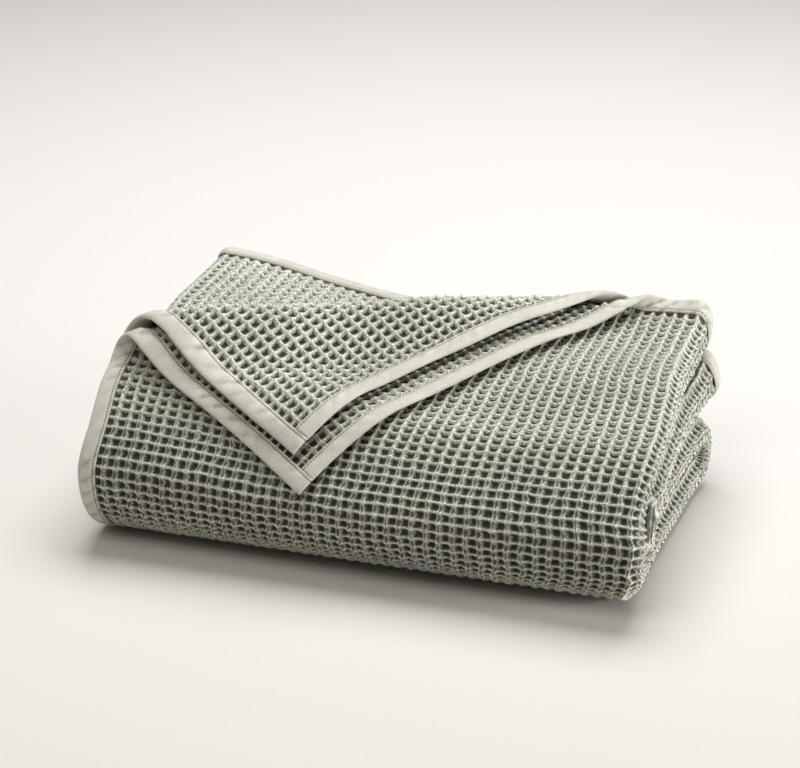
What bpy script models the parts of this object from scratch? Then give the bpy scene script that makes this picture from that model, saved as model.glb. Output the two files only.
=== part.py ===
"""A bound waffle weave cotton throw, folded in quarters both ways and lying on a flat surface.

The corner of its top two layers is turned back over the pile and hangs over the front. Metres, +Z up,
+X along the front, +Y to the back.

A point of the flat throw is (u, v, w): u runs along the side that is folded four times across the pile,
v along the side that is folded four times from back to front, and w across the thickness. The fold carries
it across the pile, then over the turned-back corner, then along the path from the top to the inside.
"""

import math

import bmesh
import bpy
import numpy as np

# The cloth and its binding
SHEET = 0.0046
PLY = 0.0084
QUARTER_GAP = 0.0020
BIND_WIDE = 0.015
BIND_THICK = 0.0034
SEAM_GAP = 0.0006
CLOTH_COLOUR = (0.235, 0.235, 0.190)
BIND_COLOUR = (0.480, 0.470, 0.405)

# Across the pile: where its four layers start and turn. Layer 1 is the outermost.
LEFT_EDGE_1 = 0.004
RIGHT_TURN_OUTER = 0.444
LEFT_TURN = 0.004
RIGHT_TURN_INNER = 0.437
LEFT_EDGE_2 = 0.003
OUTER_TURN = 0.010
INNER_TURN = 0.0065

# From back to front, before the top leans back: where the four quarters of the pile start and turn
TOP_BACK = 0.315
BOTTOM_BACK = 0.275
BACK_TURN = 0.030
INNER_FRONT = 0.064
INNER_BACK = 0.320
LEAN = 0.023
LEAN_FROM = 0.070
LEAN_RISE = 0.060

# The turned-back corner. Its crease meets the left edge and the back edge at these distances from the
# corner. For each of its layers the rolls are its radii at the left, in the middle and at the right, the
# slope is the length of its way down to its rest, the height at which it lies, and the drag is how far
# the tip is pulled in x and forward.
CREASE_SIDE = 0.265
CREASE_BACK = 0.427
TURNED = {
    1: dict(rolls=(0.0114, 0.0102, 0.0068), slope=0.048, rest=0.0101, drag=(-0.031, -0.002)),
    2: dict(rolls=(0.0207, 0.0235, 0.0156), slope=0.065, rest=0.0202, drag=(-0.021, 0.005)),
}

# Shares of the crease over which the roll goes from the left to the middle radius and from there to
# the right one, and the length of flap that lies level. The short step gives the path's direction.
ROLL_LEFT = (0.0, 0.4)
ROLL_RIGHT = (0.4, 0.9)
LEVEL_RUN = 0.4
STEP_AHEAD = 0.0001

# How the pile settles. A row fades in between the two ends it gives in x, y and z, moves the cloth
# by move_x and move_y, and lifts it by the share rise of its height.
SETTLING = (
    dict(what="front slopes down", y=(0.24, 0.07), rise=-0.148),
    dict(what="left front rises", x=(0.25, 0.00), y=(0.20, 0.04), rise=0.10),
    dict(what="left shoulder rises", x=(0.20, 0.00), y=(0.05, 0.15), rise=0.158),
    dict(what="back corner lifts", x=(0.155, -0.03), y=(0.12, 0.32), rise=0.064),
    dict(what="back sinks", y=(0.12, 0.32), rise=-0.073),
    dict(what="left and middle of the back stand", x=(0.42, 0.26), y=(0.15, 0.35), rise=0.08),
    dict(what="right side stands", x=(0.25, 0.45), rise=0.017),
    dict(what="back right edge lifts", x=(0.24, 0.42), y=(0.24, 0.34), rise=0.08),
    dict(what="top right draws in", x=(0.25, 0.45), y=(0.05, 0.35), z=(0.080, 0.135), move_x=-0.011),
    dict(what="right shoulder spreads", x=(0.25, 0.45), y=(0.25, 0.05), z=(0.052, 0.082), move_x=0.0105),
    dict(what="left shoulder bulges", x=(0.20, 0.00), y=(0.30, 0.20), z=(0.10, 0.15), move_x=-0.0075),
    dict(what="left back bulges", x=(0.20, 0.00), y=(0.17, 0.23), z=(0.10, 0.13), move_x=-0.004),
    dict(what="back left reaches out", x=(0.30, 0.00), y=(0.12, 0.32), move_y=0.009),
    dict(what="right back spreads", x=(0.25, 0.45), y=(0.25, 0.33), z=(0.095, 0.075), move_x=0.0045),
    dict(what="back right edge curls up", x=(0.37, 0.46), y=(0.310, 0.350), rise=0.105),
    dict(what="foot spreads", x=(0.25, 0.45), y=(0.14, 0.02), z=(0.10, 0.05), move_x=0.015, move_y=-0.001),
    dict(what="foot tucks in", x=(0.25, 0.45), y=(0.14, 0.02), z=(0.045, 0.010), move_x=-0.011),
)

# How closely points stand along a path, and flat faces along the folds
ARC_POINTS = 1200
SLOPE_POINTS = 400
PATH_POINTS = 8000
FOLD_STEPS = 5
FRONT_STEPS = 5
BACK_STEPS = 7
PLAIN_STEP = 0.13
NEAR_ENOUGH = 0.0009
NEAR_SEAM = 0.0002
REFINE_ROUNDS = 8
LEAST_CUT = 0.002

# The middle of the folded throw, which stands at the origin
CENTRE = (0.2326, 0.1704)


def arc(centre, radii, start, end):
    """Points of an elliptical arc, its angles in degrees."""
    turn = np.radians(np.linspace(start, end, ARC_POINTS))
    return np.stack([centre[0] + radii[0] * np.cos(turn), centre[1] + radii[1] * np.sin(turn)], 1)


def ease(value):
    """0 to 1 with level ends."""
    value = np.clip(value, 0.0, 1.0)
    return value * value * (3.0 - 2.0 * value)


def fade(value, ends):
    """0 to 1 between two ends, which may be in falling order, or 1 everywhere where there are none."""
    return 1.0 if ends is None else ease((value - ends[0]) / (ends[1] - ends[0]))


def leaned(points):
    """Points in y and z, with the upper part leaning back."""
    back = LEAN * ease((points[..., 1] - LEAN_FROM) / LEAN_RISE)
    return np.stack([points[..., 0] + back, points[..., 1]], -1)


class Run:
    """A folded line in a plane, read by the distance along it. Its pieces meet end to end.

    Distances are measured on the points as the function measured moves them.
    """

    def __init__(self, pieces, measured=np.array):
        pieces = [np.array(piece, float) for piece in pieces]
        lengths = [np.linalg.norm(np.diff(measured(piece), axis=0), axis=1).sum() for piece in pieces]
        self.marks = np.r_[0.0, np.cumsum(lengths)]
        self.length = self.marks[-1]
        points = np.concatenate([pieces[0]] + [piece[1:] for piece in pieces[1:]])
        reach = np.r_[0.0, np.cumsum(np.linalg.norm(np.diff(measured(points), axis=0), axis=1))]
        self.fine = np.linspace(0.0, self.length, PATH_POINTS)
        self.points = np.stack([np.interp(self.fine, reach, points[:, i]) for i in (0, 1)], 1)
        along = np.gradient(self.points, self.fine, axis=0)
        self.along = along / np.linalg.norm(along, axis=1)[:, None]

    def at(self, distance, aside):
        """The point at a distance along the run and a distance to its left."""
        inside = np.clip(distance, 0.0, self.length)
        point = np.stack([np.interp(inside, self.fine, self.points[:, i]) for i in (0, 1)], -1)
        along = np.stack([np.interp(inside, self.fine, self.along[:, i]) for i in (0, 1)], -1)
        along /= np.linalg.norm(along, axis=-1)[..., None]
        left = np.stack([-along[..., 1], along[..., 0]], -1)
        return point + along * (distance - inside)[..., None] + left * aside[..., None]


def across_run():
    """The four layers across the pile, as x and height against layer 1."""
    return Run(
        (
            [(LEFT_EDGE_1, 0.0), (RIGHT_TURN_OUTER, 0.0)],
            arc((RIGHT_TURN_OUTER, -1.5 * PLY), (OUTER_TURN, 1.5 * PLY), 90, -90),
            [(RIGHT_TURN_OUTER, -3 * PLY), (LEFT_TURN, -3 * PLY)],
            arc((LEFT_TURN, -2.5 * PLY), (INNER_TURN, 0.5 * PLY), 270, 90),
            [(LEFT_TURN, -2 * PLY), (RIGHT_TURN_INNER, -2 * PLY)],
            arc((RIGHT_TURN_INNER, -1.5 * PLY), (INNER_TURN, 0.5 * PLY), -90, 90),
            [(RIGHT_TURN_INNER, -PLY), (LEFT_EDGE_2, -PLY)],
        )
    )


def forward_run():
    """The way of layer 1 in y and z: forward on top, down the front, back below, then up and inside."""
    low = SHEET / 2
    third = low + 7 * PLY + QUARTER_GAP
    second = third + PLY + QUARTER_GAP
    high = second + 7 * PLY + QUARTER_GAP
    front = (high - low) / 2
    back = (third - low) / 2
    turn = (second - third) / 2
    return Run(
        (
            [(TOP_BACK, high), (front, high)],
            arc((front, low + front), (front, front), 90, 180),
            arc((front, low + front), (front, front), 180, 270),
            [(front, low), (BOTTOM_BACK, low)],
            arc((BOTTOM_BACK, low + back), (BACK_TURN, back), -90, 90),
            [(BOTTOM_BACK, third), (INNER_FRONT, third)],
            arc((INNER_FRONT, third + turn), (turn, turn), 270, 90),
            [(INNER_FRONT, second), (INNER_BACK, second)],
        ),
        leaned,
    )


def roll_run(roll, slope, rest):
    """The section of the turned-back corner: forward, around, and down to rest on the pile."""
    step = np.linspace(0.0, 1.0, SLOPE_POINTS)[:, None]
    down = np.concatenate([-slope * step, 2 * roll + (rest - 2 * roll) * ease(step)], 1)
    return Run((arc((0.0, roll), (roll, roll), -90, 90), down, [(-slope, rest), (-slope - LEVEL_RUN, rest)]))


ACROSS = across_run()
FORWARD = forward_run()
FLAT_WIDE = ACROSS.length
FLAT_LONG = FORWARD.length


def turned(layer, x, s, height):
    """Carries points of layer 1 or 2 over the turned-back corner. s is the distance from the back edge."""
    size = TURNED[layer]
    base = -PLY * (layer - 1)
    side, back = CREASE_SIDE, CREASE_BACK
    span = math.hypot(side, back)
    toward = np.array([-side, -back]) / span
    line = np.array([back, -side]) / span
    far = x * toward[0] + (s - side) * toward[1]
    share = x * line[0] + (s - side) * line[1]
    place = share / span
    left, middle, right = size["rolls"]
    roll = left + (middle - left) * fade(place, ROLL_LEFT) + (right - middle) * fade(place, ROLL_RIGHT)
    thick = roll / middle
    rest = size["rest"] - base
    run = roll_run(middle, size["slope"], rest)
    flat = np.zeros_like(far)
    moved = run.at(far / thick, flat) * thick[..., None]
    ahead = run.at(far / thick + STEP_AHEAD, flat) * thick[..., None] - moved
    ahead /= np.linalg.norm(ahead, axis=-1)[..., None]
    beyond = far / thick - math.pi * middle
    moved[..., 1] += (1.0 - thick) * rest * ease(beyond / size["slope"])
    moved += np.stack([-ahead[..., 1], ahead[..., 0]], -1) * (height - base)[..., None]
    pulled = np.clip(beyond / (side * back / span), 0.0, 1.0)
    over = far > 0.0
    new_x = share * line[0] + moved[..., 0] * toward[0] + size["drag"][0] * pulled
    new_s = side + share * line[1] + moved[..., 0] * toward[1] + size["drag"][1] * pulled
    return np.where(over, new_x, x), np.where(over, new_s, s), np.where(over, base + moved[..., 1], height)


def settled(x, y, z):
    """The pile's unevenness, from the table SETTLING."""
    move_x = np.zeros_like(x)
    move_y = np.zeros_like(x)
    rise = np.ones_like(x)
    for push in SETTLING:
        share = fade(x, push.get("x")) * fade(y, push.get("y")) * fade(z, push.get("z"))
        move_x = move_x + push.get("move_x", 0.0) * share
        move_y = move_y + push.get("move_y", 0.0) * share
        rise = rise + push.get("rise", 0.0) * share
    return np.stack([x + move_x, y + move_y, z * rise], -1)


def folded(u, v, w):
    """Where the folded throw holds the point (u, v, w) of the flat throw."""
    profile = ACROSS.at(u, w)
    x, height = profile[..., 0], profile[..., 1]
    s = v
    for layer, chosen in ((1, u < ACROSS.marks[1]), (2, u > ACROSS.marks[6])):
        moved = turned(layer, x, s, height)
        x = np.where(chosen, moved[0], x)
        height = np.where(chosen, moved[2], height)
        s = np.where(chosen, moved[1], s)
    place = leaned(FORWARD.at(s, -height))
    return settled(x, place[..., 0], place[..., 1])


def clear_scene():
    """Removes every object of the scene."""
    for thing in list(bpy.data.objects):
        bpy.data.objects.remove(thing, do_unlink=True)


def make_material(name, colour):
    """A matt material of its own for one piece."""
    made = bpy.data.materials.new(name)
    made.use_nodes = True
    surface = made.node_tree.nodes["Principled BSDF"]
    surface.inputs["Base Color"].default_value = (*colour, 1.0)
    surface.inputs["Roughness"].default_value = 0.95
    surface.inputs["Metallic"].default_value = 0.0
    made.diffuse_color = (*colour, 1.0)
    return made


def stations(run, bends):
    """Distances along a run at which the flat throw is cut: fine in its bends and coarse between them."""
    cuts = []
    for number, (start, end) in enumerate(zip(run.marks[:-1], run.marks[1:])):
        steps = bends.get(number, math.ceil((end - start) / PLAIN_STEP))
        cuts.extend(np.linspace(start, end, steps + 1)[1:])
    return cuts


def flat_panel(low, high):
    """A flat panel of the throw with corners low and high in (u, v), cut along every fold."""
    mesh = bmesh.new()
    bmesh.ops.create_grid(mesh, x_segments=1, y_segments=1, size=0.5)
    for vertex in mesh.verts:
        vertex.co.x = low[0] + (vertex.co.x + 0.5) * (high[0] - low[0])
        vertex.co.y = low[1] + (vertex.co.y + 0.5) * (high[1] - low[1])
    across = stations(ACROSS, {1: FOLD_STEPS, 3: FOLD_STEPS, 5: FOLD_STEPS})
    forward = stations(FORWARD, {1: FRONT_STEPS, 2: FRONT_STEPS, 4: BACK_STEPS, 6: FOLD_STEPS})
    for axis, cuts in ((0, across), (1, forward)):
        normal = [0.0, 0.0, 0.0]
        normal[axis] = 1.0
        for cut in cuts:
            if low[axis] + LEAST_CUT < cut < high[axis] - LEAST_CUT:
                place = [0.0, 0.0, 0.0]
                place[axis] = cut
                whole = mesh.verts[:] + mesh.edges[:] + mesh.faces[:]
                bmesh.ops.bisect_plane(mesh, geom=whole, plane_co=place, plane_no=normal, dist=1e-6)
    return mesh


def refine(mesh):
    """Splits each edge that a fold would leave far from the folded cloth."""
    for _ in range(REFINE_ROUNDS):
        bmesh.ops.triangulate(mesh, faces=mesh.faces[:])
        edges = mesh.edges[:]
        ends = np.array([[vertex.co[:2] for vertex in edge.verts] for edge in edges])
        flat = np.zeros(len(edges))
        start = folded(ends[:, 0, 0], ends[:, 0, 1], flat)
        end = folded(ends[:, 1, 0], ends[:, 1, 1], flat)
        middle = folded(ends[:, :, 0].mean(1), ends[:, :, 1].mean(1), flat)
        missed = np.linalg.norm(middle - (start + end) / 2, axis=1)
        allowed = np.array([NEAR_SEAM if edge.is_boundary else NEAR_ENOUGH for edge in edges])
        chosen = [edge for edge, miss in zip(edges, missed > allowed) if miss]
        if not chosen:
            return
        bmesh.ops.subdivide_edges(mesh, edges=chosen, cuts=1)


def folded_object(name, low, high, thick, colour, collection):
    """One piece of the throw: cut flat, given its thickness, and folded."""
    mesh = flat_panel(low, high)
    refine(mesh)
    bmesh.ops.triangulate(mesh, faces=mesh.faces[:])
    data = bpy.data.meshes.new(name)
    mesh.to_mesh(data)
    mesh.free()
    piece = bpy.data.objects.new(name, data)
    collection.objects.link(piece)
    shell = piece.modifiers.new("Thickness", "SOLIDIFY")
    shell.thickness = thick
    shell.offset = 0.0
    graph = bpy.context.evaluated_depsgraph_get()
    solid = bpy.data.meshes.new_from_object(piece.evaluated_get(graph))
    piece.modifiers.clear()
    points = np.empty(len(solid.vertices) * 3)
    solid.vertices.foreach_get("co", points)
    points = points.reshape(-1, 3)
    place = folded(points[:, 0], points[:, 1], points[:, 2])
    place[:, 0] -= CENTRE[0]
    place[:, 1] -= CENTRE[1]
    solid.vertices.foreach_set("co", place.ravel())
    solid.flip_normals()
    solid.name = name
    solid.materials.append(make_material(name + "_cotton", colour))
    piece.data = solid
    return piece


def build():
    """The cloth and the four strips of binding around it, each a piece of the same folded throw."""
    clear_scene()
    throw = bpy.data.collections.new("waffle_throw")
    bpy.context.scene.collection.children.link(throw)
    wide = FLAT_WIDE
    long = FLAT_LONG
    inner = BIND_WIDE - SEAM_GAP
    cloth = ((BIND_WIDE, BIND_WIDE), (wide - BIND_WIDE, long - BIND_WIDE))
    folded_object("waffle_cloth", *cloth, SHEET, CLOTH_COLOUR, throw)
    strips = {
        "binding_side_outer": ((0.0, 0.0), (inner, long)),
        "binding_side_inner": ((wide - inner, 0.0), (wide, long)),
        "binding_end_outer": ((BIND_WIDE, 0.0), (wide - BIND_WIDE, inner)),
        "binding_end_inner": ((BIND_WIDE, long - inner), (wide - BIND_WIDE, long)),
    }
    for name, corners in strips.items():
        folded_object(name, *corners, BIND_THICK, BIND_COLOUR, throw)


build()
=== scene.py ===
"""A bound waffle weave cotton throw, folded in quarters both ways, with one corner of its top layers
turned back over the front. It lies on a pale floor in soft light. Metres, +Z up, +X along the front."""

import math

import bpy
import numpy as np
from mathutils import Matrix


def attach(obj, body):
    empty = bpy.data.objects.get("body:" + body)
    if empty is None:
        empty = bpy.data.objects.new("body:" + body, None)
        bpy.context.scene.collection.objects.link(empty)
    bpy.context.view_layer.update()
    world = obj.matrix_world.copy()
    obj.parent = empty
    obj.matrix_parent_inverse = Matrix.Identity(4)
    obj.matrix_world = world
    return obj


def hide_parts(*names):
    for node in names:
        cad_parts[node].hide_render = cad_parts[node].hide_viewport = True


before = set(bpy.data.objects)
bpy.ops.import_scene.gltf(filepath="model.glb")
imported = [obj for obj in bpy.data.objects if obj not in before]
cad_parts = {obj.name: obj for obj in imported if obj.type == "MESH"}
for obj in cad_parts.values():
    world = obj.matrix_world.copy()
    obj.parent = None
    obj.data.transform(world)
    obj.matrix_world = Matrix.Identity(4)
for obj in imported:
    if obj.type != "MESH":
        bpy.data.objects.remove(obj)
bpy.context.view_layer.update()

# ---------------------------------------------------------------------------------------------------
# The waffle cloth. Long floats of cotton yarn stand up as ridges round each cell, over a pit of short
# ones, on both faces alike. It is one cut of cloth, in four meshes that meet on hidden lines, and only
# its folds and its weight hold it.

# How it is folded. Every piece is made flat first, with u across the throw's four widths, v along its
# four lengths and w above the middle of the sheet. It is then folded across the pile, turned back at the
# corner, and folded from back to front.

SHEET = 0.0046
PLY = 0.0084
QUARTER_GAP = 0.0020

# Across the pile: where its four layers start and turn. Layer 1 is the outermost.
LEFT_EDGE_1 = 0.004
RIGHT_TURN_OUTER = 0.444
LEFT_TURN = 0.004
RIGHT_TURN_INNER = 0.437
LEFT_EDGE_2 = 0.003
OUTER_TURN = 0.010
INNER_TURN = 0.0065

# From back to front, before the top leans back: where the four quarters of the pile start and turn.
TOP_BACK = 0.315
BOTTOM_BACK = 0.275
BACK_TURN = 0.030
INNER_FRONT = 0.064
INNER_BACK = 0.320
LEAN = 0.023
LEAN_FROM = 0.070
LEAN_RISE = 0.060

# The turned-back corner. Its crease meets the left edge and the back edge at these distances from the
# corner. For each of its layers the rolls are its radii at the left, in the middle and at the right, the
# slope is the length of its way down to the height of its rest, and the drag pulls its tip in x and forward.
CREASE_SIDE = 0.265
CREASE_BACK = 0.427
CORNER = {
    1: dict(rolls=(0.0114, 0.0102, 0.0068), slope=0.048, rest=0.0101, drag=(-0.031, -0.002)),
    2: dict(rolls=(0.0207, 0.0235, 0.0156), slope=0.065, rest=0.0202, drag=(-0.021, 0.005)),
}

# Shares of the crease over which the roll goes from the left to the middle radius and from there to
# the right one, and the length of flap that lies level. The short step gives the path's direction.
ROLL_LEFT = (0.0, 0.4)
ROLL_RIGHT = (0.4, 0.9)
LEVEL_RUN = 0.4
STEP_AHEAD = 0.0001

# How the pile settles. A row fades in between the two ends it gives in x, y and z, moves the cloth
# by move_x and move_y, and lifts it by the share rise of its height.
SETTLING = (
    dict(what="front slopes down", y=(0.24, 0.07), rise=-0.148),
    dict(what="left front rises", x=(0.25, 0.00), y=(0.20, 0.04), rise=0.10),
    dict(what="left shoulder rises", x=(0.20, 0.00), y=(0.05, 0.15), rise=0.158),
    dict(what="back corner lifts", x=(0.155, -0.03), y=(0.12, 0.32), rise=0.064),
    dict(what="back sinks", y=(0.12, 0.32), rise=-0.073),
    dict(what="left and middle of the back stand", x=(0.42, 0.26), y=(0.15, 0.35), rise=0.08),
    dict(what="right side stands", x=(0.25, 0.45), rise=0.017),
    dict(what="back right edge lifts", x=(0.24, 0.42), y=(0.24, 0.34), rise=0.08),
    dict(what="top right draws in", x=(0.25, 0.45), y=(0.05, 0.35), z=(0.080, 0.135), move_x=-0.011),
    dict(what="right shoulder spreads", x=(0.25, 0.45), y=(0.25, 0.05), z=(0.052, 0.082), move_x=0.0105),
    dict(what="left shoulder bulges", x=(0.20, 0.00), y=(0.30, 0.20), z=(0.10, 0.15), move_x=-0.0075),
    dict(what="left back bulges", x=(0.20, 0.00), y=(0.17, 0.23), z=(0.10, 0.13), move_x=-0.004),
    dict(what="back left reaches out", x=(0.30, 0.00), y=(0.12, 0.32), move_y=0.009),
    dict(what="right back spreads", x=(0.25, 0.45), y=(0.25, 0.33), z=(0.095, 0.075), move_x=0.0045),
    dict(what="back right edge curls up", x=(0.37, 0.46), y=(0.310, 0.350), rise=0.105),
    dict(what="foot spreads", x=(0.25, 0.45), y=(0.14, 0.02), z=(0.10, 0.05), move_x=0.015, move_y=-0.001),
    dict(what="foot tucks in", x=(0.25, 0.45), y=(0.14, 0.02), z=(0.045, 0.010), move_x=-0.011),
)
CENTRE = (0.2326, 0.1704)

# How closely points stand along a path.
ARC_POINTS = 1200
SLOPE_POINTS = 400
PATH_POINTS = 8000


def ease(value):
    """0 to 1 with level ends."""
    value = np.clip(value, 0.0, 1.0)
    return value * value * (3.0 - 2.0 * value)


def fade(value, ends):
    """The eased share of the way from the first end to the second, and 1 where there are no ends."""
    return 1.0 if ends is None else ease((value - ends[0]) / (ends[1] - ends[0]))


def arc(centre, radii, start, end):
    """Points of an elliptical arc, its angles in degrees."""
    turn = np.radians(np.linspace(start, end, ARC_POINTS))
    return np.stack([centre[0] + radii[0] * np.cos(turn), centre[1] + radii[1] * np.sin(turn)], 1)


def leaned(points):
    """Points in y and z, with the upper part leaning back."""
    back = LEAN * ease((points[..., 1] - LEAN_FROM) / LEAN_RISE)
    return np.stack([points[..., 0] + back, points[..., 1]], -1)


class Run:
    """A folded line in a plane, read by the distance along it."""

    def __init__(self, pieces, measured=np.array):
        pieces = [np.array(piece, float) for piece in pieces]
        lengths = [np.linalg.norm(np.diff(measured(piece), axis=0), axis=1).sum() for piece in pieces]
        self.marks = np.r_[0.0, np.cumsum(lengths)]
        self.length = self.marks[-1]
        points = np.concatenate([pieces[0]] + [piece[1:] for piece in pieces[1:]])
        reach = np.r_[0.0, np.cumsum(np.linalg.norm(np.diff(measured(points), axis=0), axis=1))]
        self.fine = np.linspace(0.0, self.length, PATH_POINTS)
        self.points = np.stack([np.interp(self.fine, reach, points[:, i]) for i in (0, 1)], 1)
        along = np.gradient(self.points, self.fine, axis=0)
        self.along = along / np.linalg.norm(along, axis=1)[:, None]

    def at(self, distance, aside):
        """The points at a distance along the line and a distance to the left of it."""
        inside = np.clip(distance, 0.0, self.length)
        point = np.stack([np.interp(inside, self.fine, self.points[:, i]) for i in (0, 1)], -1)
        along = np.stack([np.interp(inside, self.fine, self.along[:, i]) for i in (0, 1)], -1)
        along /= np.linalg.norm(along, axis=-1)[..., None]
        left = np.stack([-along[..., 1], along[..., 0]], -1)
        return point + along * (distance - inside)[..., None] + left * aside[..., None]


ACROSS = Run(
    (
        [(LEFT_EDGE_1, 0.0), (RIGHT_TURN_OUTER, 0.0)],
        arc((RIGHT_TURN_OUTER, -1.5 * PLY), (OUTER_TURN, 1.5 * PLY), 90, -90),
        [(RIGHT_TURN_OUTER, -3 * PLY), (LEFT_TURN, -3 * PLY)],
        arc((LEFT_TURN, -2.5 * PLY), (INNER_TURN, 0.5 * PLY), 270, 90),
        [(LEFT_TURN, -2 * PLY), (RIGHT_TURN_INNER, -2 * PLY)],
        arc((RIGHT_TURN_INNER, -1.5 * PLY), (INNER_TURN, 0.5 * PLY), -90, 90),
        [(RIGHT_TURN_INNER, -PLY), (LEFT_EDGE_2, -PLY)],
    )
)
OUTER_FOLD, OUTER_FOLD_END, HALF_FOLD, HALF_FOLD_END, INNER_FOLD, INNER_FOLD_END = ACROSS.marks[1:7]

# The heights of the outermost layer on its way from the bottom up, and the radii of its turns.
LOW = SHEET / 2
THIRD = LOW + 7 * PLY + QUARTER_GAP
SECOND = THIRD + PLY + QUARTER_GAP
TOP = SECOND + 7 * PLY + QUARTER_GAP
FRONT_ROUND, BACK_ROUND, INNER_ROUND = (TOP - LOW) / 2, (THIRD - LOW) / 2, (SECOND - THIRD) / 2
FORWARD = Run(
    (
        [(TOP_BACK, TOP), (FRONT_ROUND, TOP)],
        arc((FRONT_ROUND, LOW + FRONT_ROUND), (FRONT_ROUND, FRONT_ROUND), 90, 180),
        arc((FRONT_ROUND, LOW + FRONT_ROUND), (FRONT_ROUND, FRONT_ROUND), 180, 270),
        [(FRONT_ROUND, LOW), (BOTTOM_BACK, LOW)],
        arc((BOTTOM_BACK, LOW + BACK_ROUND), (BACK_TURN, BACK_ROUND), -90, 90),
        [(BOTTOM_BACK, THIRD), (INNER_FRONT, THIRD)],
        arc((INNER_FRONT, THIRD + INNER_ROUND), (INNER_ROUND, INNER_ROUND), 270, 90),
        [(INNER_FRONT, SECOND), (INNER_BACK, SECOND)],
    ),
    leaned,
)
FRONT_FOLD_END, BACK_FOLD, BACK_FOLD_END = FORWARD.marks[3:6]
FLAT_WIDE, FLAT_LONG = ACROSS.length, FORWARD.length
CREASE = math.hypot(CREASE_SIDE, CREASE_BACK)
TOWARD = (-CREASE_SIDE / CREASE, -CREASE_BACK / CREASE)


def past_crease(x, s):
    """How far a point of the top layers lies past the crease, on its way to the corner."""
    return x * TOWARD[0] + (s - CREASE_SIDE) * TOWARD[1]


def roll_run(roll, slope, rest):
    """The section of the turned-back corner: round the roll, down to its rest, and level from there."""
    step = np.linspace(0.0, 1.0, SLOPE_POINTS)[:, None]
    down = np.concatenate([-slope * step, 2 * roll + (rest - 2 * roll) * ease(step)], 1)
    return Run((arc((0.0, roll), (roll, roll), -90, 90), down, [(-slope, rest), (-slope - LEVEL_RUN, rest)]))


def turned(layer, x, s, height):
    """Carries points of layer 1 or 2 over the turned-back corner. s is the distance from the back edge."""
    size = CORNER[layer]
    base = -PLY * (layer - 1)
    line = (-TOWARD[1], TOWARD[0])
    far = past_crease(x, s)
    share = x * line[0] + (s - CREASE_SIDE) * line[1]
    place = share / CREASE
    left, middle, right = size["rolls"]
    roll = left + (middle - left) * fade(place, ROLL_LEFT) + (right - middle) * fade(place, ROLL_RIGHT)
    thick = roll / middle
    rest = size["rest"] - base
    run = roll_run(middle, size["slope"], rest)
    flat = np.zeros_like(far)
    moved = run.at(far / thick, flat) * thick[..., None]
    ahead = run.at(far / thick + STEP_AHEAD, flat) * thick[..., None] - moved
    ahead /= np.linalg.norm(ahead, axis=-1)[..., None]
    beyond = far / thick - math.pi * middle
    moved[..., 1] += (1.0 - thick) * rest * ease(beyond / size["slope"])
    moved += np.stack([-ahead[..., 1], ahead[..., 0]], -1) * (height - base)[..., None]
    pulled = np.clip(beyond / (CREASE_SIDE * CREASE_BACK / CREASE), 0.0, 1.0)
    over = far > 0.0
    new_x = share * line[0] + moved[..., 0] * TOWARD[0] + size["drag"][0] * pulled
    new_s = CREASE_SIDE + share * line[1] + moved[..., 0] * TOWARD[1] + size["drag"][1] * pulled
    return np.where(over, new_x, x), np.where(over, new_s, s), np.where(over, base + moved[..., 1], height)


def settled(x, y, z):
    """The pile's unevenness, from the table SETTLING."""
    move_x, move_y, rise = np.zeros_like(x), np.zeros_like(x), np.ones_like(x)
    for push in SETTLING:
        share = fade(x, push.get("x")) * fade(y, push.get("y")) * fade(z, push.get("z"))
        move_x = move_x + push.get("move_x", 0.0) * share
        move_y = move_y + push.get("move_y", 0.0) * share
        rise = rise + push.get("rise", 0.0) * share
    return np.stack([x + move_x, y + move_y, z * rise], -1)


def folded(u, v, w):
    """Where the folded throw holds the point (u, v, w) of the flat throw, in the frame of the solids."""
    profile = ACROSS.at(u, w)
    x, height = profile[..., 0], profile[..., 1]
    s = v
    for layer, chosen in ((1, u < OUTER_FOLD), (2, u > INNER_FOLD_END)):
        moved = turned(layer, x, s, height)
        x = np.where(chosen, moved[0], x)
        height = np.where(chosen, moved[2], height)
        s = np.where(chosen, moved[1], s)
    place = leaned(FORWARD.at(s, -height))
    return settled(x, place[..., 0], place[..., 1]) - (*CENTRE, 0.0)


def points_of(piece):
    """The places of a piece's points, one to a row."""
    points = np.empty(len(piece.data.vertices) * 3)
    piece.data.vertices.foreach_get("co", points)
    return points.reshape(-1, 3)


def fold(piece, points):
    """Moves a flat piece to its place in the pile, and flattens it where it lies on the floor. The folding
    mirrors it, so its faces are turned round."""
    placed = folded(*points.T)
    placed[:, 2] = np.maximum(placed[:, 2], 0.0)
    piece.data.vertices.foreach_set("co", placed.ravel())
    piece.data.flip_normals()
    piece.data.update()


def mapped(piece, places):
    """Gives the piece's UV map one place for each of its points."""
    corners = np.empty(len(piece.data.loops), int)
    piece.data.loops.foreach_get("vertex_index", corners)
    piece.data.uv_layers["UVMap"].data.foreach_set("uv", places[corners].ravel())


def marked(piece, name, values):
    """Gives the piece a named value at each of its points, for its material to read."""
    piece.data.attributes.new(name, "FLOAT", "POINT").data.foreach_set("value", values)


# The cells. They fill the cloth between the bindings and reach a little way under them.
BIND_WIDE = 0.015
TUCKED = 0.003
CELL_WIDE, CELL_LONG = 0.0100, 0.0090
COLUMNS = round((FLAT_WIDE - 2 * BIND_WIDE) / CELL_WIDE)
ROWS = round((FLAT_LONG - 2 * BIND_WIDE) / CELL_LONG)
EDGE = BIND_WIDE - TUCKED
CELL_U = (FLAT_WIDE - 2 * EDGE) / COLUMNS
CELL_V = (FLAT_LONG - 2 * EDGE) / ROWS

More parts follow.
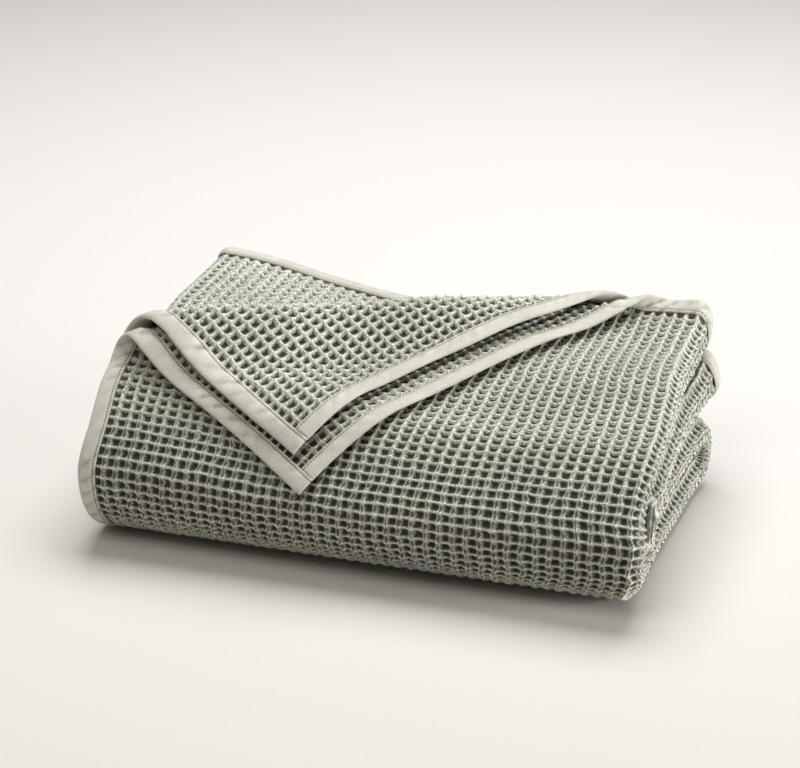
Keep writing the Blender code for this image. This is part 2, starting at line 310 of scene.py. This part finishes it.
# Where points stand across one cell and along it, closer together on the ridges.
STEPS_U = {"cells": (0.0, 0.12, 0.3, 0.5, 0.7, 0.88), "low": (0.0, 0.2, 0.5, 0.8), "plain": (0.0,)}
STEPS_V = {"cells": (0.0, 0.14, 0.38, 0.62, 0.86), "low": (0.0, 0.2, 0.5, 0.8), "plain": (0.0,)}


def column(u, aside=0):
    """The ridge nearest to u, or one that lies some cells aside from it."""
    return int(np.clip(round((u - EDGE) / CELL_U) + aside, 0, COLUMNS))


def row(v, aside=0):
    """The ridge nearest to v, or one that lies some cells aside from it."""
    return int(np.clip(round((v - EDGE) / CELL_V) + aside, 0, ROWS))


TURN_R, TURN_R_END = column(OUTER_FOLD, -4), column(OUTER_FOLD_END, 3)
HALF_L, HALF_L_END = column(HALF_FOLD, -2), column(HALF_FOLD_END, 2)
TURN_IN, TURN_IN_END = column(INNER_FOLD, -2), column(INNER_FOLD_END, 2)
FRONT_END, CORNER_END = row(FRONT_FOLD_END, 1), row(CREASE_SIDE, 4)
REAR, REAR_END = row(BACK_FOLD, -3), row(BACK_FOLD_END, 4)

# The four meshes, each made of panels that run from one ridge to another. The cells are modelled where
# the cloth shows, and it is plain where other layers cover it.
PANELS = {
    "cloth_front": (dict(u=(0, TURN_R_END), v=(0, FRONT_END), weave="cells"),),
    "cloth_outer_rest": (
        dict(u=(0, TURN_R), v=(FRONT_END, REAR), weave="low"),
        dict(u=(0, TURN_R), v=(REAR, REAR_END), weave="cells"),
        dict(u=(0, TURN_R), v=(REAR_END, ROWS), weave="plain"),
        dict(u=(TURN_R, TURN_R_END), v=(FRONT_END, ROWS), weave="cells"),
        dict(u=(TURN_R_END, HALF_L), v=(0, ROWS), weave="plain"),
    ),
    "cloth_middle": (
        dict(u=(HALF_L, HALF_L_END), v=(0, ROWS), weave="cells"),
        dict(u=(HALF_L_END, TURN_IN), v=(0, CORNER_END), weave="cells"),
        dict(u=(HALF_L_END, TURN_IN), v=(CORNER_END, ROWS), weave="plain"),
        dict(u=(TURN_IN, TURN_IN_END), v=(0, ROWS), weave="cells"),
    ),
    "cloth_upper": (
        dict(u=(TURN_IN_END, COLUMNS), v=(0, CORNER_END), weave="cells"),
        dict(u=(TURN_IN_END, COLUMNS), v=(CORNER_END, ROWS), weave="plain"),
    ),
}
PLAIN_PANELS = [panel for panels in PANELS.values() for panel in panels if panel["weave"] == "plain"]


def stations(ends, steps):
    return np.array([cell + step for cell in range(*ends) for step in steps] + [ends[1]], float)


def flat_grid(name, columns, rows):
    """A new flat grid, selected alone. Its points are given their places next."""
    bpy.ops.object.select_all(action="DESELECT")
    bpy.ops.mesh.primitive_grid_add(x_subdivisions=columns, y_subdivisions=rows, size=1.0)
    bpy.context.object.name = name
    return bpy.context.object


def flat_panel(name, u, v, weave):
    """One panel of the flat cloth, measured in cells."""
    across, along = stations(u, STEPS_U[weave]), stations(v, STEPS_V[weave])
    piece = flat_grid(name, len(across) - 1, len(along) - 1)
    place = np.stack([*np.meshgrid(across, along), np.zeros((len(along), len(across)))], -1)
    piece.data.vertices.foreach_set("co", place.ravel())
    return piece


def joined(pieces):
    """Joins panels into one mesh and merges the points that they share."""
    bpy.ops.object.select_all(action="DESELECT")
    for piece in pieces:
        piece.select_set(True)
    bpy.context.view_layer.objects.active = pieces[0]
    if len(pieces) > 1:
        bpy.ops.object.join()
    bpy.ops.object.mode_set(mode="EDIT")
    bpy.ops.mesh.select_all(action="SELECT")
    bpy.ops.mesh.remove_doubles(threshold=0.001)
    bpy.ops.object.mode_set(mode="OBJECT")
    return pieces[0]


# How uneven the hand-loose weave is: the shares of a cell by which a crossing is off its place, the share
# by which its height differs, and the shares of a cell by which whole rows wander.
rng = np.random.RandomState(7)
UNEVEN = rng.uniform(-1.0, 1.0, (4, COLUMNS + 2, ROWS + 2))
LOOSE_U, LOOSE_V = 0.085, 0.07
HEIGHT_SPREAD = 0.14
WANDER = 0.05
WANDER_FROM_EDGE = 5.0


def uneven(which, a, b):
    """A small difference from cell to cell, smooth between the crossings of the ridges."""
    table = UNEVEN[which]
    i, j = np.clip(a.astype(int), 0, COLUMNS), np.clip(b.astype(int), 0, ROWS)
    p, q = ease(a - i), ease(b - j)
    near = table[i, j] * (1 - p) + table[i + 1, j] * p
    return near * (1 - q) + (table[i, j + 1] * (1 - p) + table[i + 1, j + 1] * p) * q


def slow(along, aside, start):
    """A slow wander of the rows, from -1 to 1 over some ten cells."""
    first = np.sin(along / 2.9 + 1.7 * np.sin(aside / 6.1 + start) + start)
    return 0.6 * first + 0.4 * np.sin(along / 1.3 + 1.3 * np.sin(aside / 3.7) + 2.0 * start)


# The ridges that run along v stand upright on the front, and those along u lie level there. Each has a
# half width at a crossing and gains some midway, in cells, and sags there by a share of the pit's depth.
UPRIGHT = dict(half=0.14, gain=0.24, sag=0.22)
LEVEL = dict(half=0.18, gain=0.29, sag=0.36)
RIDGE_TOP = 0.0023
PIT_DEEP = 0.0056


def pit_depth(a, b):
    """0 on the ridges to 1 in the pits."""
    across, along = np.abs(a - np.round(a)), np.abs(b - np.round(b))
    midway_u, midway_v = np.sin(math.pi * across), np.sin(math.pi * along)
    upright = 1.0 - ease(across / (UPRIGHT["half"] + UPRIGHT["gain"] * midway_v))
    level = 1.0 - ease(along / (LEVEL["half"] + LEVEL["gain"] * midway_u))
    sag = LEVEL["sag"] * level * midway_u**2 + UPRIGHT["sag"] * upright * midway_v**2
    return (1.0 - upright) * (1.0 - level) + sag


# Where the modelled face changes sides: past the crease in the top two layers, and before the inner fold.
CHANGE_1 = (-0.002, 0.010)
CHANGE_2 = (-0.004, 0.008)
CHANGE_INSIDE = (-0.030, -0.015)


def showing_side(u, v):
    """1 where the face above the sheet shows and -1 where the one below it does."""
    past_1 = past_crease(LEFT_EDGE_1 + u, v)
    past_2 = past_crease(LEFT_EDGE_2 + FLAT_WIDE - u, v)
    side = np.where(u < OUTER_FOLD, 1.0 - 2.0 * fade(past_1, CHANGE_1), 1.0)
    side = np.where(u > HALF_FOLD, 1.0 - 2.0 * fade(u - INNER_FOLD, CHANGE_INSIDE), side)
    return np.where(u > INNER_FOLD_END, 2.0 * fade(past_2, CHANGE_2) - 1.0, side)


# The share of their height that the cells keep under the bindings, the distance from there to their full
# height, and the share that they lose round the half fold, where the layers inside press on them.
PRESSED = 0.45
PRESSED_WIDE = 0.0035
LOST_AT_HALF = 0.5
HALF_FADE = 1.5


def cells_share(a, b):
    """1 where the cells have their full height, and 0 at the edge of a plain panel."""
    share = np.ones_like(a)
    for panel in PLAIN_PANELS:
        off_u = np.maximum(np.maximum(panel["u"][0] - a, a - panel["u"][1]), 0.0)
        off_v = np.maximum(np.maximum(panel["v"][0] - b, b - panel["v"][1]), 0.0)
        share = share * ease(np.hypot(off_u, off_v))
    at_half = ease((a - HALF_L) / HALF_FADE) * ease((HALF_L_END - a) / HALF_FADE)
    off_binding = np.minimum(np.minimum(a, COLUMNS - a) * CELL_U, np.minimum(b, ROWS - b) * CELL_V) - TUCKED
    free = PRESSED + (1.0 - PRESSED) * ease(off_binding / PRESSED_WIDE)
    return share * (1.0 - LOST_AT_HALF * at_half) * free


def inside(a, b, reach):
    """0 at the edges of the cloth to 1 that many cells in."""
    return fade(np.minimum(a, COLUMNS - a), (0.0, reach)) * fade(np.minimum(b, ROWS - b), (0.0, reach))


STEEP = (0.15, 0.55)
PROBE = 0.001


def woven(piece):
    """Gives the flat cloth its cells, then folds it. Its UV map counts the cells, and its values called
    spread go from 0 where it lies level to 1 where it stands steeply and its weight pulls the cells open."""
    cells = points_of(piece)
    a, b = cells[:, 0], cells[:, 1]
    near, far = inside(a, b, 1.0), inside(a, b, WANDER_FROM_EDGE)
    u = EDGE + CELL_U * (a + LOOSE_U * near * uneven(0, a, b) + WANDER * far * slow(b, a, 0.0))
    v = EDGE + CELL_V * (b + LOOSE_V * near * uneven(1, a, b) + WANDER * far * slow(a, b, 2.0))
    tall = 1.0 + HEIGHT_SPREAD * uneven(2, a, b)
    w = showing_side(u, v) * cells_share(a, b) * (RIDGE_TOP * tall - PIT_DEEP * pit_depth(a, b))
    fold(piece, np.stack([u, v, w], 1))
    upward = np.abs(folded(u, v, w + PROBE)[:, 2] - folded(u, v, w)[:, 2]) / PROBE
    marked(piece, "spread", fade(1.0 - upward, STEEP))
    mapped(piece, cells[:, :2])
    piece.data.shade_smooth()


def node(tree, kind, *inputs, output=0, **settings):
    """Adds a shader node, links or sets its inputs in order, and gives one of its outputs."""
    made = tree.nodes.new("ShaderNode" + kind)
    for name, value in settings.items():
        setattr(made, name, value)
    for socket, value in zip(made.inputs, inputs):
        if isinstance(value, bpy.types.NodeSocket):
            tree.links.new(value, socket)
        elif value is not None:
            socket.default_value = value
    return made.outputs[output]


def sums(tree, operation, *inputs):
    return node(tree, "Math", *inputs, operation=operation)


def noise(tree, place, scale, detail):
    return node(tree, "TexNoise", place, None, scale, detail)


def between(tree, value, start, end, low=0.0, high=1.0):
    """The value eased from low at start to high at end."""
    return node(tree, "MapRange", value, start, end, low, high, interpolation_type="SMOOTHSTEP")


def mixed(tree, share, first, second):
    """The first colour where the share is 0 and the second where it is 1."""
    made = tree.nodes.new("ShaderNodeMix")
    made.data_type = "RGBA"
    for socket, value in ((made.inputs[0], share), (made.inputs[6], first), (made.inputs[7], second)):
        if isinstance(value, bpy.types.NodeSocket):
            tree.links.new(value, socket)
        else:
            socket.default_value = (*value, 1.0)
    return made.outputs[2]


def shaded(tree, shade, colour):
    """The colour made lighter or darker."""
    return node(tree, "HueSaturation", 0.5, 1.0, shade, 1.0, colour)


def bumped(tree, surface, height, strength, distance):
    bump = node(tree, "Bump", strength, distance, output="Normal")
    tree.links.new(height, bump.node.inputs["Height"])
    tree.links.new(bump, surface.inputs["Normal"])


def cloth_material(name, roughness, sheen):
    """A matt cotton with a little fuzz on it. Gives the material, its nodes and its shader."""
    made = bpy.data.materials.new(name)
    made.use_nodes = True
    surface = made.node_tree.nodes["Principled BSDF"]
    surface.inputs["Roughness"].default_value = roughness
    surface.inputs["Sheen Weight"].default_value = sheen
    surface.inputs["Sheen Roughness"].default_value = 0.5
    surface.inputs["Specular IOR Level"].default_value = 0.2
    return made, made.node_tree, surface


RIDGE_COLOUR = (0.65, 0.655, 0.58)
WALL_SHADE_COLOUR = (0.40, 0.405, 0.33)
PIT_SHADE_COLOUR = (0.070, 0.070, 0.051)
GAP_SHADE_COLOUR = (0.12, 0.12, 0.085)
YARNS_TO_A_CELL = 8.0
RIDGE_WANDER = 0.12
UPRIGHT_SHADE = 0.30


def waffle_material():
    """Sage cotton yarn: pale floats on the ridges and closer picks in the pits, with painted shade making
    the walls and pits of the cells darker. Where the cells hang open, their ridges are thin, painted shade
    dulls all but the level ridges, and the upright ones part in two midway, with painted shade in the gap."""
    made, tree, surface = cloth_material("waffle_cotton", 0.92, 0.25)
    cell = node(tree, "UVMap", uv_map="UVMap")
    spread = node(tree, "Attribute", output="Fac", attribute_name="spread")

    def opening(lying, hanging):
        return sums(tree, "MULTIPLY_ADD", spread, hanging - lying, lying)

    # The place in the cell, from 0 on a ridge to 0.5 in the middle, on ridges that wander a little.
    shift = sums(tree, "SUBTRACT", noise(tree, cell, 0.9, 2.0), 0.5)
    shift = sums(tree, "MULTIPLY", shift, RIDGE_WANDER)
    counted = [node(tree, "SeparateXYZ", cell, output=axis) for axis in (0, 1)]
    across, along = (sums(tree, "PINGPONG", sums(tree, "ADD", count, shift), 0.5) for count in counted)
    bow_up, bow_level = (
        sums(tree, "MULTIPLY", sums(tree, "MULTIPLY", part, 4.0), sums(tree, "SUBTRACT", 1.0, part))
        for part in (along, across)
    )

    # The upright ridges part in two, with painted shade in the gap between them.
    apart = between(tree, noise(tree, cell, 1.1, 1.0), 0.35, 0.65, 0.07, 0.18)
    apart = sums(tree, "MULTIPLY", sums(tree, "MULTIPLY", bow_up, apart), spread)
    beside = sums(tree, "ABSOLUTE", sums(tree, "SUBTRACT", across, apart))
    gap_shade = between(tree, sums(tree, "SUBTRACT", apart, across), 0.01, 0.05, 0.0, 0.85)

    # How deep the place lies, from 0 on a ridge to 1 in the pit, which is rounder where the cell is open.
    swell = opening(0.28, 0.02)
    reach_up = sums(tree, "MULTIPLY_ADD", bow_up, swell, opening(0.10, 0.25))
    reach_level = sums(tree, "MULTIPLY_ADD", bow_level, swell, opening(0.17, 0.23))
    deep = sums(
        tree, "MULTIPLY", between(tree, beside, 0.02, reach_up), between(tree, along, 0.02, reach_level)
    )
    off_middle = [sums(tree, "MULTIPLY_ADD", part, -2.0, 1.0) for part in (beside, along)]
    oval = sums(tree, "ADD", *[sums(tree, "MULTIPLY", part, part) for part in off_middle])
    rounder = sums(tree, "MULTIPLY_ADD", between(tree, oval, 0.55, 1.12, 0.0, -1.0), spread, 1.0)
    deep = sums(tree, "MULTIPLY", deep, rounder)

    # Painted shade: the walls of the cells and, most of all, their pits are coloured darker than the ridges.
    wall_shade = between(tree, deep, opening(0.10, 0.03), opening(0.34, 0.12))
    pit_shade = between(tree, deep, opening(0.52, 0.28), opening(0.74, 1.00))
    colour = mixed(tree, wall_shade, RIDGE_COLOUR, WALL_SHADE_COLOUR)
    colour = mixed(tree, pit_shade, colour, PIT_SHADE_COLOUR)
    colour = mixed(tree, gap_shade, colour, GAP_SHADE_COLOUR)
    patches = between(tree, noise(tree, cell, 0.12, 3.0), 0.3, 0.7, 0.93, 1.07)
    lumps = between(tree, noise(tree, cell, 7.0, 3.0), 0.38, 0.62, 0.58, 1.26)
    # Painted shade where the cloth stands steeply: all but the level ridges are made darker there.
    upright_shade = between(tree, along, 0.06, 0.26, 0.0, -UPRIGHT_SHADE)
    upright_shade = sums(tree, "MULTIPLY_ADD", upright_shade, spread, 1.0)
    shade = sums(tree, "MULTIPLY", sums(tree, "MULTIPLY", patches, lumps), upright_shade)
    tree.links.new(shaded(tree, shade, colour), surface.inputs["Base Color"])

    nearest = sums(tree, "MINIMUM", across, along)
    yarns = sums(tree, "SINE", sums(tree, "MULTIPLY", nearest, 2.0 * math.pi * YARNS_TO_A_CELL))
    height = sums(tree, "SUBTRACT", sums(tree, "MULTIPLY", yarns, 0.3), deep)
    height = sums(tree, "ADD", height, sums(tree, "MULTIPLY", noise(tree, cell, 14.0, 3.0), 0.9))
    bumped(tree, surface, height, 0.9, 0.0005)
    return made


WAFFLE = waffle_material()
for name, panels in PANELS.items():
    cloth = joined([flat_panel(name, **panel) for panel in panels])
    woven(cloth)
    cloth.data.materials.append(WAFFLE)
    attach(cloth, "root")
    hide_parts("waffle_cloth")

# ---------------------------------------------------------------------------------------------------
# The binding. Each edge has a plain woven cotton strip folded over it and stitched through near its inner
# edges, which draws it up into small slanting puckers. The side strips run the whole length and end in a
# cut fold, and the end strips butt against them.

# The upper half of a strip's section, from its turned-in edge to its fold: how far each point lies from
# the throw's edge, and how high above the middle of the cloth. The stitches hold it at one of them.
PROFILE = (
    dict(off=0.0154, w=0.0008),
    dict(off=0.0154, w=0.0016),
    dict(off=0.0151, w=0.0022),
    dict(off=0.0143, w=0.0024),
    dict(off=0.0133, w=0.0019),
    dict(off=0.0123, w=0.0024),
    dict(off=0.0104, w=0.0026),
    dict(off=0.0074, w=0.0025),
    dict(off=0.0046, w=0.0023),
    dict(off=0.0024, w=0.0020),
    dict(off=0.0009, w=0.0014),
    dict(off=0.0000, w=0.0006),
)
STITCHED = 4
AROUND = np.array([(p["off"], p["w"]) for p in PROFILE] + [(p["off"], -p["w"]) for p in PROFILE[::-1]])
GIRTH = np.r_[0.0, np.cumsum(np.hypot(*np.diff(AROUND, axis=0).T))]
MM = 1000.0
STRIP_STEP = 0.0012
END_CLOSES = 0.002
END_THICK = 0.25
END_LENGTH = FLAT_WIDE - 2 * BIND_WIDE

# Each strip starts at a place of the flat throw, runs along one of its edges and reaches inward from it.
STRIPS = {
    "side_outer": dict(start=(0.0, 0.0), along=(0.0, 1.0), inward=(1.0, 0.0), length=FLAT_LONG, pucker=1.0),
    "side_inner": dict(
        start=(FLAT_WIDE, 0.0), along=(0.0, 1.0), inward=(-1.0, 0.0), length=FLAT_LONG, pucker=1.0
    ),
    "end_outer": dict(
        start=(BIND_WIDE, 0.0), along=(1.0, 0.0), inward=(0.0, 1.0), length=END_LENGTH, pucker=0.3, bunch=1.5
    ),
    "end_inner": dict(
        start=(BIND_WIDE, FLAT_LONG), along=(1.0, 0.0), inward=(0.0, -1.0), length=END_LENGTH, pucker=0.5
    ),
}
for strip, waves in zip(STRIPS.values(), rng.uniform(0.0, 2.0 * math.pi, (4, 3))):
    strip["waves"] = waves

# The puckers: the distance from one to the next, how far they slant, how high they stand, the finer
# ripples between them, and the slow waves of the whole strip. The bunched stretch fades in and out.
PUCKER_PITCH = 0.0085
PUCKER_SLANT = 1.1
PUCKER_HIGH = 0.0010
RIPPLE = 0.0024
WAVE, WAVE_HIGH = 0.013, 0.0002
BUNCH_START, BUNCH_END = (0.31, 0.36), (0.46, 0.42)
PUCKERS_FROM = (0.001, 0.010)
HELD_FROM, HELD = (0.0126, 0.0136), 0.8


def puckers(strip, along, off):
    """The slanting folds of a strip, from -1 to 1. They start at its stitches, with creases between."""
    first, second, third = strip["waves"]
    shift = 0.8 * np.sin(along / 0.019 + first) + second
    place = (along + PUCKER_SLANT * off) / PUCKER_PITCH + shift
    folds = 2.0 * np.abs(np.sin(0.5 * math.pi * place)) ** 0.8 - 1.0
    ripples = np.sin((along - 0.4 * off) / RIPPLE + 2.0 * np.sin(along / 0.031) + third)
    strong = 0.55 + 0.45 * np.sin(along / 0.023 + third + 1.5 * np.sin(along / 0.011))
    return (0.7 * folds + 0.3 * ripples) * strong * (0.25 + 0.75 * fade(off, PUCKERS_FROM))


def drawn_in(strip, along):
    """How much the stitches draw a strip in. The end strip is bunched where the back edge turns up."""
    bunched = fade(along, BUNCH_START) * fade(along, BUNCH_END)
    return strip["pucker"] + strip.get("bunch", 0.0) * bunched


def raised(strip, along, off):
    """How much a strip stands up at a place. Its stitches hold it down."""
    free = 1.0 - HELD * fade(off, HELD_FROM)
    folds = drawn_in(strip, along) * puckers(strip, along, off)
    return PUCKER_HIGH * free * folds + WAVE_HIGH * np.sin(along / WAVE + strip["waves"][0])


def strip_points(strip, along, off, w):
    """Places of the flat throw, from the distance along a strip and the distance inward from the edge."""
    u = strip["start"][0] + strip["along"][0] * along + strip["inward"][0] * off
    v = strip["start"][1] + strip["along"][1] * along + strip["inward"][1] * off
    return np.stack([u, v, w], 1)


def strip_piece(strip, name):
    """The strip as a grid: along its length, and round from its upper inner edge to its lower one. Its UV
    map is in millimetres, and its values called crease tell its material where the puckers lie, for the
    shade painted in their troughs."""
    length = strip["length"]
    steps = round(length / STRIP_STEP)
    piece = flat_grid(name, steps, len(AROUND) - 1)
    along, number = np.meshgrid(np.linspace(0.0, length, steps + 1), np.arange(len(AROUND)))
    along, number = along.ravel(), number.ravel()
    off, w = AROUND[number].T
    to_end = np.minimum(along, length - along)
    closed = np.sqrt(np.clip(1.0 - (1.0 - to_end / END_CLOSES).clip(0.0, 1.0) ** 2, 0.0, 1.0))
    w = w * (END_THICK + (1.0 - END_THICK) * closed) + np.sign(w) * raised(strip, along, off) * closed
    mapped(piece, np.stack([along, GIRTH[number]], 1) * MM)
    marked(piece, "crease", drawn_in(strip, along) * puckers(strip, along, off))
    fold(piece, strip_points(strip, along, off, w))
    if strip["along"][0] * strip["inward"][1] > strip["along"][1] * strip["inward"][0]:
        piece.data.flip_normals()
    piece.data.shade_smooth()
    return piece


BINDING_COLOUR = (0.61, 0.60, 0.53)
SEAM_SHADE_COLOUR = (0.10, 0.098, 0.078)
YARN_PITCH = 0.00042
STITCH_PITCH = 0.0029


def binding_material():
    """Fine plain woven cotton with a trace of slubs, with painted shade in its creases and along its
    stitches.
    """
    made, tree, surface = cloth_material("binding_cotton", 0.85, 0.15)
    place = node(tree, "UVMap", uv_map="UVMap")
    along, around = (node(tree, "SeparateXYZ", place, output=axis) for axis in (0, 1))
    warp, weft = (
        sums(tree, "SINE", sums(tree, "MULTIPLY", part, 2.0 * math.pi / (MM * YARN_PITCH)))
        for part in (along, around)
    )
    slub = noise(tree, place, 0.35, 3.0)

    # Painted shade between the stitches, on a line at the same distance from the fold on both faces.
    middle = MM * GIRTH[-1] / 2
    off_fold = sums(tree, "ABSOLUTE", sums(tree, "SUBTRACT", around, middle))
    off_seam = sums(tree, "ABSOLUTE", sums(tree, "SUBTRACT", off_fold, middle - MM * GIRTH[STITCHED]))
    dash = sums(tree, "SINE", sums(tree, "MULTIPLY", along, 2.0 * math.pi / (MM * STITCH_PITCH)))
    seam_shade = between(tree, off_seam, 0.3, 0.9, 0.9, 0.0)
    seam_shade = sums(tree, "MULTIPLY", seam_shade, between(tree, dash, -0.5, 0.5, 0.45, 1.0))

    slubs = between(tree, slub, 0.3, 0.7, 0.95, 1.05)
    patches = between(tree, noise(tree, place, 0.03, 2.0), 0.3, 0.7, 0.96, 1.04)
    # Painted shade in the troughs of the puckers, with a little painted light on their crests.
    crease = node(tree, "Attribute", output="Fac", attribute_name="crease")
    crease_shade = between(tree, crease, -1.0, 0.5, 0.55, 1.06)
    shade = sums(tree, "MULTIPLY", sums(tree, "MULTIPLY", slubs, patches), crease_shade)
    tone = shaded(tree, shade, (*BINDING_COLOUR, 1.0))
    tree.links.new(mixed(tree, seam_shade, tone, SEAM_SHADE_COLOUR), surface.inputs["Base Color"])
    height = sums(tree, "ADD", sums(tree, "MULTIPLY", warp, weft), sums(tree, "MULTIPLY", slub, 2.0))
    bumped(tree, surface, height, 0.4, 0.0002)
    return made


BINDING = binding_material()
for place, strip in STRIPS.items():
    piece = strip_piece(strip, "binding_" + place + "_strip")
    piece.data.materials.append(BINDING)
    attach(piece, "root")
    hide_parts("binding_" + place)

# ---------------------------------------------------------------------------------------------------
# The stitches. One line of lockstitch holds each strip, through both of its faces and the cloth. Each
# stitch is a short length of cotton thread that dips into the strip at both ends.

STITCH_OFF = PROFILE[STITCHED]["off"]
STITCH_LONG = 0.0021
STITCH_DIP = 0.0004
STITCH_HIGH = 0.0018
THREAD = 0.00055


def open_tube(name):
    """A short open tube with a ring of points at its middle, selected alone."""
    bpy.ops.object.select_all(action="DESELECT")
    bpy.ops.mesh.primitive_cylinder_add(vertices=5, radius=0.5, depth=1.0, end_fill_type="NOTHING")
    bpy.context.object.name = name
    bpy.ops.object.mode_set(mode="EDIT")
    bpy.ops.mesh.select_all(action="SELECT")
    bpy.ops.mesh.subdivide(number_cuts=1)
    bpy.ops.object.mode_set(mode="OBJECT")
    return bpy.context.object


def stitches(strip, name):
    """One stitch, repeated flat along both faces of a strip, then folded with it."""
    piece = open_tube(name)
    shape = points_of(piece)
    flat = np.stack([shape[:, 2] * STITCH_LONG, shape[:, 1] * THREAD, shape[:, 0] * THREAD], 1)
    flat[:, 2] += STITCH_HIGH - STITCH_DIP * (2.0 * shape[:, 2]) ** 2
    piece.data.vertices.foreach_set("co", flat.ravel())
    repeat = piece.modifiers.new("Along", "ARRAY")
    repeat.use_relative_offset = False
    repeat.use_constant_offset = True
    repeat.constant_offset_displace = (STITCH_PITCH, 0.0, 0.0)
    repeat.count = int((strip["length"] - 2 * STITCH_PITCH) / STITCH_PITCH)
    bpy.ops.object.modifier_apply(modifier="Along")
    other = piece.modifiers.new("Both faces", "MIRROR")
    other.use_axis = (False, False, True)
    other.use_mirror_merge = False
    bpy.ops.object.modifier_apply(modifier="Both faces")
    place = points_of(piece)
    along = place[:, 0] + 1.5 * STITCH_PITCH
    off = STITCH_OFF + place[:, 1]
    w = place[:, 2] + np.sign(place[:, 2]) * raised(strip, along, np.full_like(along, STITCH_OFF))
    fold(piece, strip_points(strip, along, off, w))
    bpy.ops.object.mode_set(mode="EDIT")
    bpy.ops.mesh.select_all(action="SELECT")
    bpy.ops.mesh.normals_make_consistent(inside=False)
    bpy.ops.object.mode_set(mode="OBJECT")
    piece.data.shade_smooth()
    return piece


THREAD_COLOUR = (0.44, 0.43, 0.37)


def thread_material():
    """Twisted cotton thread, a little darker than the strips."""
    made, tree, surface = cloth_material("thread_cotton", 0.8, 0.1)
    twist = noise(tree, node(tree, "TexCoord", output="Object"), 2500.0, 2.0)
    shade = between(tree, twist, 0.3, 0.7, 0.8, 1.2)
    tree.links.new(shaded(tree, shade, (*THREAD_COLOUR, 1.0)), surface.inputs["Base Color"])
    return made


THREAD_COTTON = thread_material()
for place, strip in STRIPS.items():
    line = stitches(strip, "stitches_" + place)
    line.data.materials.append(THREAD_COTTON)
    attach(line, "root")

# ---------------------------------------------------------------------------------------------------
# The floor, the light and the camera. A wide soft light hangs above and behind, a low one stands at the
# right and a weak one hangs in front, and a dim warm room fills in. The camera stands a little to the
# right and looks down.

FLOOR_WIDE = 14.0
FLOOR_COLOUR = (0.71, 0.680, 0.662)
ROOM_COLOUR = (1.0, 0.965, 0.80)
ROOM_STRENGTH = 0.145

bpy.ops.object.select_all(action="DESELECT")
bpy.ops.mesh.primitive_grid_add(x_subdivisions=4, y_subdivisions=4, size=FLOOR_WIDE)
floor = bpy.context.object
floor.name = "floor"
floor_paint = bpy.data.materials.new("floor_paint")
floor_paint.use_nodes = True
floor_surface = floor_paint.node_tree.nodes["Principled BSDF"]
floor_surface.inputs["Base Color"].default_value = (*FLOOR_COLOUR, 1.0)
floor_surface.inputs["Roughness"].default_value = 0.9
floor.data.materials.append(floor_paint)

scene = bpy.context.scene
scene.view_settings.view_transform = "Standard"
room = bpy.data.worlds.new("room")
room.use_nodes = True
room.node_tree.nodes["Background"].inputs["Color"].default_value = (*ROOM_COLOUR, 1.0)
room.node_tree.nodes["Background"].inputs["Strength"].default_value = ROOM_STRENGTH
scene.world = room


def soft_light(name, place, aim, size, power, colour):
    """A square light at a place, turned towards another."""
    made = bpy.data.lights.new(name, "AREA")
    made.size = size
    made.energy = power
    made.color = colour
    lamp = bpy.data.objects.new(name, made)
    scene.collection.objects.link(lamp)
    lamp.location = place
    x, y, z = np.array(aim) - np.array(place)
    lamp.rotation_euler = (math.atan2(math.hypot(x, y), -z), 0.0, math.atan2(y, x) - math.pi / 2)


soft_light("overhead", (-0.1, 0.8, 1.9), (0.0, 0.1, 0.0), size=1.8, power=53.0, colour=(0.98, 0.99, 1.0))
soft_light("side", (2.4, 0.0, 0.36), (0.2, 0.0, 0.08), size=0.6, power=46.0, colour=(1.0, 0.99, 0.98))
soft_light("front", (-0.3, -1.3, 2.0), (0.0, 0.0, 0.0), size=1.2, power=14.0, colour=(1.0, 0.97, 0.88))

AZIMUTH, ELEVATION = math.radians(18.8), math.radians(22.0)
TARGET = (0.2138 - CENTRE[0], 0.1892 - CENTRE[1], 0.0990)
DISTANCE = 2.43
lens = bpy.data.cameras.new("camera")
lens.sensor_width = 36.0
lens.lens = 130.5
camera = bpy.data.objects.new("camera", lens)
scene.collection.objects.link(camera)
camera.location = (
    TARGET[0] + DISTANCE * math.sin(AZIMUTH) * math.cos(ELEVATION),
    TARGET[1] - DISTANCE * math.cos(AZIMUTH) * math.cos(ELEVATION),
    TARGET[2] + DISTANCE * math.sin(ELEVATION),
)
camera.rotation_euler = (math.pi / 2 - ELEVATION, 0.0, AZIMUTH)
scene.camera = camera
